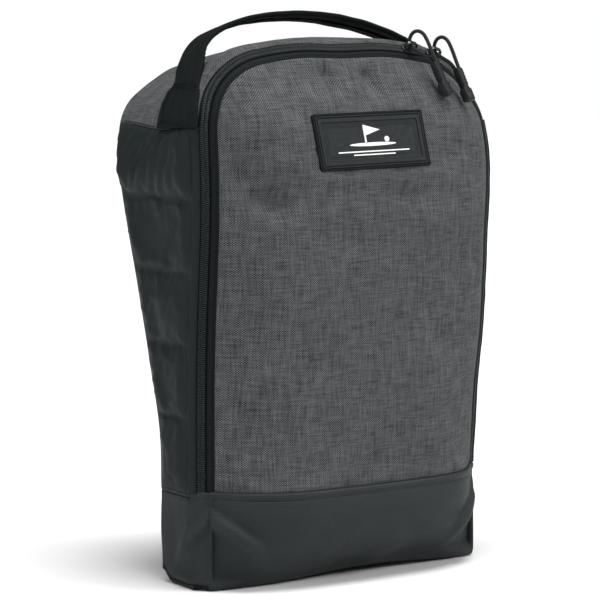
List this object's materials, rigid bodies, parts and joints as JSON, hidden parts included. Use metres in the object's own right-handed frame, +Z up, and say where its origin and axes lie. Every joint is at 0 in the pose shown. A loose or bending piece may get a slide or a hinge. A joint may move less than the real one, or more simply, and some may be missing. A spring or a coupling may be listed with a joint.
{
  "type": "golf shoe bag",
  "caption": "Soft wedge-shaped shoe bag: arched front flap closed by a zipper with two sliders, quilted padded sides, coated base band and a webbing carry handle.",
  "frame": {"origin": "on the underside of the base that the bag stands on, mid-width, 28 mm behind the base's front edge", "axes": "+Z up, +X to the bag's left as its owner wears it and to the right of someone facing its front, front faces -Y"},
  "size_m": [0.2398, 0.1538, 0.3937],
  "materials": {
    "heather_fabric": "two-tone woven polyester",
    "quilted_nylon": "satin nylon over soft fill",
    "coated_fabric": "coated fabric, fine rib, low sheen",
    "black_fabric": "plain black woven",
    "lining": "thin woven lining",
    "foam": "open foam padding",
    "stiffener": "matt sheet",
    "zipper_tape": "fine woven tape",
    "zipper_coil": "nylon coil",
    "slider_metal": "black enamel",
    "pull_cord": "braided cord",
    "pull_grip": "moulded rubber",
    "webbing": "ribbed webbing",
    "label_rubber": "moulded rubber patch"
  },
  "bodies": {
    "bag": {"back_panel": "black_fabric", "back_lining": "lining", "gusset_top": "heather_fabric", "gusset_lining": "lining", "back_piping": "black_fabric", "back_seam_binding": "black_fabric", "gusset_quilt_left": "quilted_nylon", "gusset_quilt_right": "quilted_nylon", "base_side_left": "coated_fabric", "base_side_right": "coated_fabric", "base_floor": "coated_fabric", "base_board": "stiffener", "base_front_band": "coated_fabric", "zipper_tape_outer": "zipper_tape", "zipper_coil_outer": "zipper_coil", "handle_anchor_left": "webbing", "handle_anchor_right": "webbing"},
    "flap": {"front_panel": "heather_fabric", "front_foam": "foam", "front_lining": "lining", "label_patch": "label_rubber", "zipper_tape_inner": "zipper_tape", "zipper_coil_inner": "zipper_coil", "zipper_rim": "zipper_tape"},
    "slider_a": {"slider_a": "slider_metal"},
    "slider_b": {"slider_b": "slider_metal"},
    "pull_a": {"pull_a_cord": "pull_cord", "pull_a_grip": "pull_grip"},
    "pull_b": {"pull_b_cord": "pull_cord", "pull_b_grip": "pull_grip"},
    "handle": {"handle_webbing": "webbing"}
  },
  "joints": [
    {"name": "flap_hinge", "type": "hinge", "parent": "bag", "child": "flap", "pos_m": [0, -0.0605, 0.066], "axis": [1, 0, 0], "range_deg": [0, 95]},
    {"name": "handle_swing", "type": "hinge", "parent": "bag", "child": "handle", "pos_m": [0, 0.002, 0.342], "axis": [1, 0, 0], "range_deg": [-8, 40]},
    {"name": "slider_a_run", "type": "hinge", "parent": "flap", "child": "slider_a", "pos_m": [0, -0.0237, -0.0105], "axis": [0, -1, 0], "range_deg": [0, 17]},
    {"name": "slider_b_run", "type": "hinge", "parent": "flap", "child": "slider_b", "pos_m": [0.06, -0.0237, 0.30586], "axis": [0, 1, 0], "range_deg": [0, 26]},
    {"name": "pull_a_swing", "type": "hinge", "parent": "slider_a", "child": "pull_a", "pos_m": [0.05676, -0.02889, 0.36481], "axis": [-0.9888, 0, 0.1495], "range_deg": [0, 45]},
    {"name": "pull_b_swing", "type": "hinge", "parent": "slider_b", "child": "pull_b", "pos_m": [0.07779, -0.02889, 0.36062], "axis": [-0.9511, 0, 0.309], "range_deg": [0, 45]}
  ]
}
